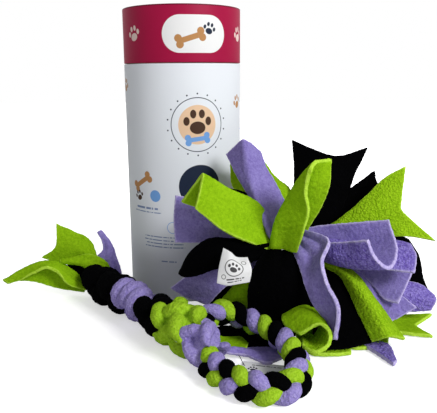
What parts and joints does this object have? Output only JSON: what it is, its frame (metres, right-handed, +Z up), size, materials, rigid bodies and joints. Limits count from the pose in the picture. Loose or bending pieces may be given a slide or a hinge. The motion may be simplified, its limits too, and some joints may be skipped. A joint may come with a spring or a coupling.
{
  "type": "dog enrichment tube",
  "caption": "Upright paper tube with a lift-off lid, a fleece snuffle ball of pinched strips and a knotted fleece tug with a plaited loop and a tassel.",
  "frame": {"origin": "middle of the tube's base, on the surface that everything stands and lies on", "axes": "+Z up along the tube; front at -Y; +X to the right, where the ball lies"},
  "size_m": [0.3731, 0.2861, 0.254],
  "materials": {
    "printed_tube": "smooth printed paper wrap, cool white, satin",
    "printed_lid": "smooth printed paper wrap, crimson, satin",
    "bare_board": "bare kraft board, matt",
    "fleece_lime": "brushed fleece, lime green",
    "fleece_lavender": "brushed fleece, lavender",
    "fleece_black": "brushed fleece, black",
    "tie_cord": "thin white tie, hidden in the core",
    "tag_cloth": "satin ribbon, white and bare",
    "tag_card": "thin white card, bare"
  },
  "bodies": {
    "tube": {"tube_body": "printed_tube", "base_disc": "bare_board", "neck_liner": "bare_board"},
    "lid": {"lid_wall": "printed_lid", "lid_disc": "printed_lid"},
    "ball": {"ball_core": "fleece_black", "ball_tie": "tie_cord", "care_tag": "tag_cloth", "strip_left_upper_lime": "fleece_lime", "strip_top_lavender": "fleece_lavender", "strip_top_back_lime": "fleece_lime", "strip_front_lime": "fleece_lime", "strip_top_black": "fleece_black", "strip_top_right_black": "fleece_black", "strip_right_lime": "fleece_lime", "strip_right_upper_lavender": "fleece_lavender", "strip_front_lavender": "fleece_lavender", "strip_front_black": "fleece_black", "strip_low_right_lime": "fleece_lime", "strip_low_front_black": "fleece_black", "strip_right_mid_lavender": "fleece_lavender", "strip_right_low_lavender": "fleece_lavender", "strip_far_right_lavender": "fleece_lavender", "strip_far_right_black": "fleece_black", "strip_floor_far_right_lime": "fleece_lime", "strip_floor_right_lime": "fleece_lime", "strip_floor_right_lavender": "fleece_lavender", "strip_rolled_lime": "fleece_lime", "strip_floor_front_lime": "fleece_lime", "strip_left_lavender": "fleece_lavender", "strip_left_black": "fleece_black", "strip_left_low_lavender": "fleece_lavender", "strip_left_low_lime": "fleece_lime", "strip_left_low_black": "fleece_black", "strip_left_upper_black": "fleece_black", "strip_back_left_black": "fleece_black", "strip_back_top_black": "fleece_black", "strip_back_right_lavender": "fleece_lavender", "strip_back_lime": "fleece_lime", "strip_back_low_lime": "fleece_lime", "strip_back_low_black": "fleece_black"},
    "tug": {"tassel_upper_lime": "fleece_lime", "tassel_long_lime": "fleece_lime", "tassel_lavender": "fleece_lavender", "tassel_short_lime": "fleece_lime", "tassel_short_black": "fleece_black", "loop_tail_lime": "fleece_lime", "loop_tail_lavender": "fleece_lavender", "knot_tassel_black": "fleece_black", "knot_lavender": "fleece_lavender", "knot_middle_black": "fleece_black", "knot_lime": "fleece_lime", "knot_loop_lavender": "fleece_lavender", "loop_strand_lime": "fleece_lime", "loop_strand_black": "fleece_black", "loop_strand_lavender": "fleece_lavender", "swing_tag": "tag_card"}
  },
  "joints": [
    {"name": "lid_lift", "type": "slide", "parent": "tube", "child": "lid", "axis": [0, 0, 1], "range_m": [0, 0.06]},
    {"name": "ball_lift", "type": "slide", "parent": "tube", "child": "ball", "axis": [0, 0, 1], "range_m": [0, 0.3]},
    {"name": "tug_pull", "type": "slide", "parent": "tube", "child": "tug", "axis": [-0.5, -0.866, 0], "range_m": [0, 0.3]}
  ]
}
